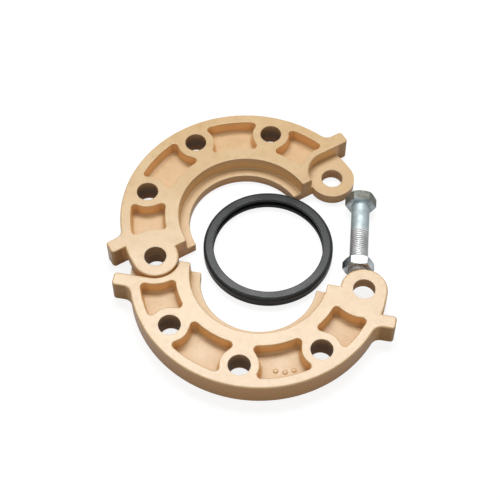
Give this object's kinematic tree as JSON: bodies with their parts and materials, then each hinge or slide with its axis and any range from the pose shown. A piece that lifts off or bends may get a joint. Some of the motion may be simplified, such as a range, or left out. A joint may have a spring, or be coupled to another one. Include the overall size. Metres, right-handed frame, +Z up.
{
  "type": "grooved pipe flange adapter",
  "caption": "Grooved-pipe flange adapter laid open: lapped cast half flanges, rubber ring gasket and hex closure bolt with nut.",
  "frame": {"origin": "on the axis of the lapped left ears' bolt hole, at the surface that every piece rests on", "axes": "+Z up along the bolt holes, +X from the lapped ears towards the lower half's ring centre and its other ear, +Y towards the upper half"},
  "size_m": [0.2546, 0.279, 0.024],
  "materials": {
    "casting": "satin copper-coloured enamel over a sand casting",
    "rubber": "moulded, matt",
    "zinc_steel": "bright zinc plating"
  },
  "bodies": {
    "lower_casting": {"lower_half": "casting", "gasket": "rubber", "closure_bolt": "zinc_steel"},
    "upper_casting": {"upper_half": "casting"},
    "nut": {"bolt_nut": "zinc_steel"}
  },
  "joints": [
    {"name": "ear_hinge", "type": "hinge", "parent": "lower_casting", "child": "upper_casting", "pos_m": [0, 0, 0], "axis": [0, 0, 1], "range_deg": [0, 32]},
    {"name": "nut_travel", "type": "slide", "parent": "lower_casting", "child": "nut", "axis": [-0.1005, 0.9949, 0], "range_m": [-0.002, 0.029]}
  ]
}
